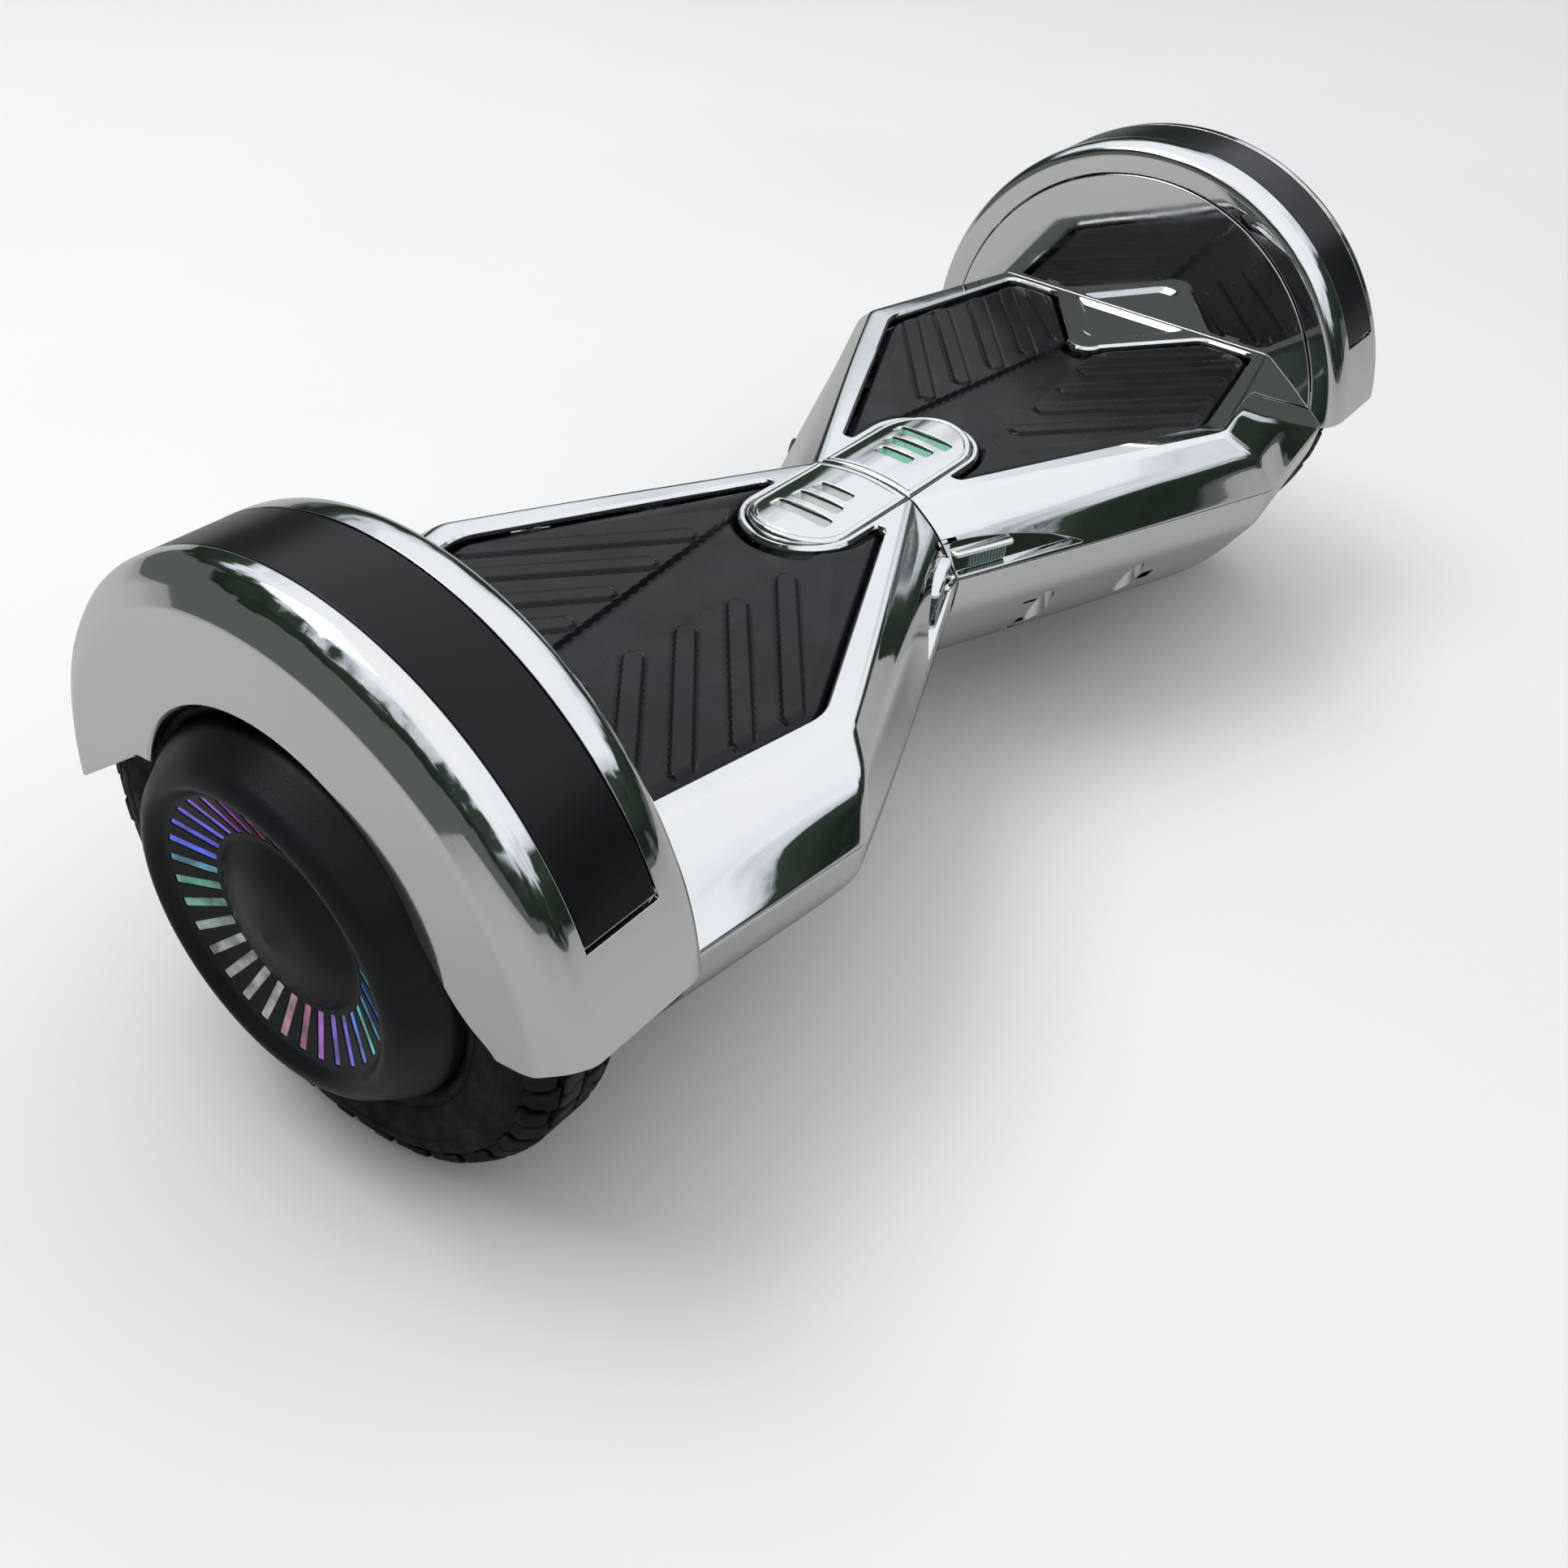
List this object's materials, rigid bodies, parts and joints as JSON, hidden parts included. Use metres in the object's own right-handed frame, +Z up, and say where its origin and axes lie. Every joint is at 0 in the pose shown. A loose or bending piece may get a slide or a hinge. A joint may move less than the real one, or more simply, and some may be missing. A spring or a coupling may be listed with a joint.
{
  "type": "self balancing hoverboard",
  "caption": "Two-wheeled self balancing board with mirrored plated halves on a centre pivot, ribbed rubber foot pads, arched fenders and hub motor wheels.",
  "frame": {"origin": "on the ground, midway between the two wheels and below the wheel axles", "axes": "+X along the wheel axles towards the right half, -Y towards the front, +Z up"},
  "size_m": [0.628, 0.2358, 0.217],
  "materials": {
    "plated_shell": "polished",
    "strip_black": "satin",
    "pad_rubber": "satin",
    "light_window": "gloss",
    "cast_aluminium": "satin",
    "bright_steel": "satin",
    "stator_iron": "satin",
    "circuit_board": "satin",
    "cable_jacket": "matte",
    "satin_black": "satin",
    "tyre_rubber": "matte",
    "battery_wrap": "gloss",
    "inner_plastic": "matte",
    "speaker_body": "matte",
    "bush_bronze": "satin"
  },
  "bodies": {
    "left_half": {"left_upper_shell": "plated_shell", "left_lower_shell": "plated_shell", "left_fender": "plated_shell", "left_fender_strip": "strip_black", "left_indicator_cover": "plated_shell", "left_indicator_light": "light_window", "left_headlight_lens": "light_window", "left_chassis": "cast_aluminium", "left_axle_clamp": "cast_aluminium", "left_clamp_screw_front": "bright_steel", "left_clamp_screw_rear": "bright_steel", "left_axle": "bright_steel", "left_stator": "stator_iron", "left_inner_bearing": "bright_steel", "left_sensor_board": "circuit_board", "left_motor_cable": "cable_jacket", "battery_pack": "battery_wrap", "battery_strap": "inner_plastic", "pivot_shaft": "bright_steel", "left_pivot_sleeve": "bush_bronze", "pivot_retaining_ring": "bright_steel", "pivot_harness": "cable_jacket"},
    "right_half": {"right_upper_shell": "plated_shell", "right_lower_shell": "plated_shell", "right_fender": "plated_shell", "right_fender_strip": "strip_black", "right_indicator_cover": "plated_shell", "right_indicator_light": "light_window", "right_headlight_lens": "light_window", "right_chassis": "cast_aluminium", "right_axle_clamp": "cast_aluminium", "right_clamp_screw_front": "bright_steel", "right_clamp_screw_rear": "bright_steel", "right_axle": "bright_steel", "right_stator": "stator_iron", "right_inner_bearing": "bright_steel", "right_sensor_board": "circuit_board", "right_motor_cable": "cable_jacket", "control_board": "circuit_board", "control_heat_sink": "cast_aluminium", "speaker": "speaker_body", "charge_socket": "inner_plastic", "right_pivot_bush_inner": "bush_bronze", "right_pivot_bush_outer": "bush_bronze"},
    "left_wheel": {"left_hub_shell": "cast_aluminium", "left_hub_cap": "satin_black", "left_hub_light_ring": "light_window", "left_tyre": "tyre_rubber"},
    "right_wheel": {"right_hub_shell": "cast_aluminium", "right_hub_cap": "satin_black", "right_hub_light_ring": "light_window", "right_tyre": "tyre_rubber"},
    "left_pad": {"left_foot_pad": "pad_rubber"},
    "right_pad": {"right_foot_pad": "pad_rubber"},
    "button": {"power_button": "inner_plastic"},
    "port_cap": {"charge_cap": "pad_rubber"}
  },
  "joints": [
    {"name": "centre_pivot", "type": "hinge", "parent": "left_half", "child": "right_half", "pos_m": [0, 0, 0.1], "axis": [1, 0, 0], "range_deg": [-12, 12]},
    {"name": "left_wheel_spin", "type": "hinge", "parent": "left_half", "child": "left_wheel", "pos_m": [-0.276, 0, 0.1], "axis": [1, 0, 0], "continuous": true},
    {"name": "right_wheel_spin", "type": "hinge", "parent": "right_half", "child": "right_wheel", "pos_m": [0.276, 0, 0.1], "axis": [1, 0, 0], "continuous": true},
    {"name": "left_pad_press", "type": "slide", "parent": "left_half", "child": "left_pad", "axis": [0, 0, -1], "range_m": [0, 0.0015], "stiffness_N_per_m": 6000, "springref_m": -0.001},
    {"name": "right_pad_press", "type": "slide", "parent": "right_half", "child": "right_pad", "axis": [0, 0, -1], "range_m": [0, 0.0015], "stiffness_N_per_m": 6000, "springref_m": -0.001},
    {"name": "power_button_press", "type": "slide", "parent": "right_half", "child": "button", "axis": [0.3803, -0.9249, 0], "range_m": [0, 0.0012], "stiffness_N_per_m": 400, "springref_m": -0.001},
    {"name": "charge_cap_swing", "type": "hinge", "parent": "right_half", "child": "port_cap", "pos_m": [0.06629, 0.07992, 0.0985], "axis": [0, 0, -1], "range_deg": [0, 110]}
  ]
}
